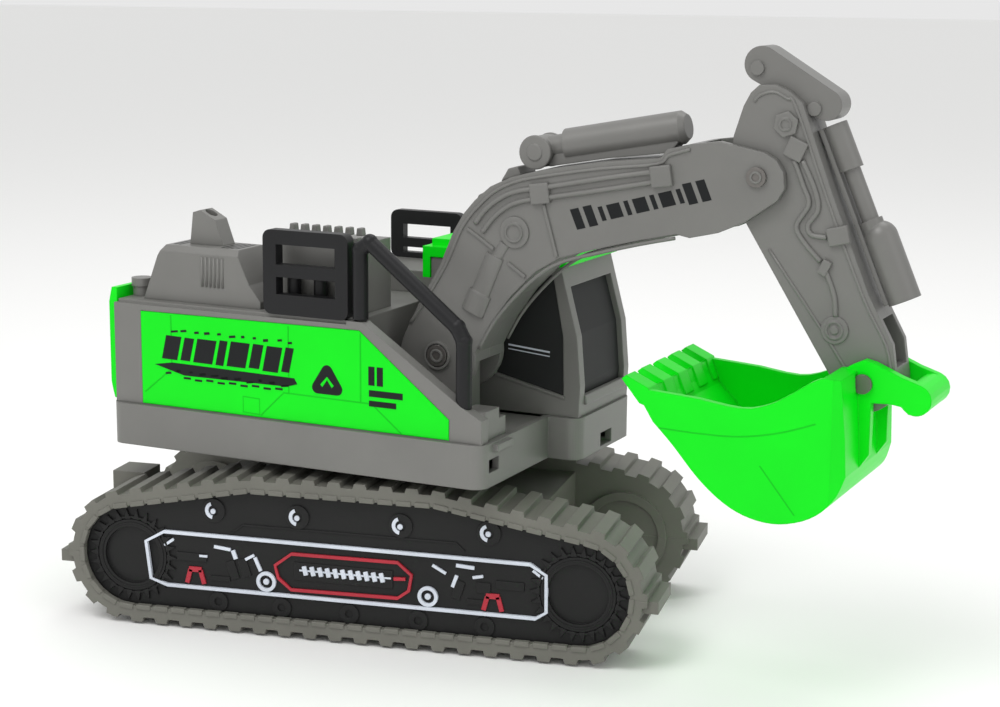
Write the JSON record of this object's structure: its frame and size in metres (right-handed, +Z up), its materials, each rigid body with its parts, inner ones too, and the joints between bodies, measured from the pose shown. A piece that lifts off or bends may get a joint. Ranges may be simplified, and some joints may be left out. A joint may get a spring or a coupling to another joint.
{
  "type": "toy excavator",
  "caption": "Toy tracked excavator: house slews on the undercarriage, boom, stick and bucket swing on pins, hidden wheels roll.",
  "frame": {"origin": "on the ground under the slewing axis, level with the bottom of the hidden wheels", "axes": "+X forward along the tracks, +Y to the machine's left, +Z up"},
  "size_m": [0.2464, 0.1134, 0.1666],
  "materials": {
    "grey_plastic": "satin moulded plastic",
    "track_grey": "matte moulded plastic",
    "black_plastic": "matte moulded plastic",
    "green_plastic": "semi-gloss moulded plastic",
    "steel": "zinc-plated steel"
  },
  "bodies": {
    "undercarriage": {"undercarriage_upper": "track_grey", "undercarriage_lower": "track_grey", "side_panel_right": "black_plastic", "side_panel_left": "black_plastic", "chassis_screws": "steel"},
    "front_wheels": {"front_axle": "steel", "wheel_front_right": "black_plastic", "wheel_front_left": "black_plastic"},
    "rear_wheels": {"rear_axle": "steel", "wheel_rear_right": "black_plastic", "wheel_rear_left": "black_plastic"},
    "boom": {"boom_half_right": "grey_plastic", "boom_half_left": "grey_plastic", "arm_cylinder": "grey_plastic", "boom_pin": "steel", "boom_screws": "steel", "stick_pin": "steel"},
    "stick": {"stick_half_right": "grey_plastic", "stick_half_left": "grey_plastic", "stick_link": "grey_plastic", "bucket_cylinder": "grey_plastic", "stick_screws": "steel"},
    "bucket": {"bucket": "green_plastic", "bucket_pin": "steel"},
    "house": {"swivel_washer": "steel", "swivel_screw": "steel", "house_tray": "grey_plastic", "house_shell": "grey_plastic", "boom_bracket": "grey_plastic", "engine_hood": "grey_plastic", "exhaust_stack": "grey_plastic", "filler_cap": "grey_plastic", "radiator_box": "grey_plastic", "deck_knobs": "black_plastic", "rear_deck_box": "grey_plastic", "body_panel_right": "green_plastic", "body_panel_left": "green_plastic", "counterweight_cover": "green_plastic", "handrail_right_guard": "black_plastic", "handrail_right_rail": "black_plastic", "handrail_left_guard": "black_plastic", "cab_frame": "grey_plastic", "cab_windscreen": "black_plastic", "cab_panel_right": "black_plastic", "cab_panel_left": "black_plastic", "cab_roof": "green_plastic", "house_screws": "steel"}
  },
  "joints": [
    {"name": "front_wheel_roll", "type": "hinge", "parent": "undercarriage", "child": "front_wheels", "pos_m": [0.062, 0, 0.0085], "axis": [0, 1, 0], "continuous": true},
    {"name": "rear_wheel_roll", "type": "hinge", "parent": "undercarriage", "child": "rear_wheels", "pos_m": [-0.062, 0, 0.0085], "axis": [0, 1, 0], "continuous": true},
    {"name": "house_slew", "type": "hinge", "parent": "undercarriage", "child": "house", "pos_m": [0, 0, 0.0487], "axis": [0, 0, 1], "continuous": true},
    {"name": "boom_lift", "type": "hinge", "parent": "house", "child": "boom", "pos_m": [0.02267, -0.01557, 0.0801], "axis": [-0.1891, -0.982, 0], "range_deg": [-18, 20]},
    {"name": "stick_swing", "type": "hinge", "parent": "boom", "child": "stick", "pos_m": [0.11134, -0.03264, 0.1341], "axis": [-0.1891, -0.982, 0], "range_deg": [-15, 40]},
    {"name": "bucket_curl", "type": "hinge", "parent": "stick", "child": "bucket", "pos_m": [0.1404, -0.03824, 0.0841], "axis": [-0.1891, -0.982, 0], "range_deg": [-20, 45]}
  ]
}
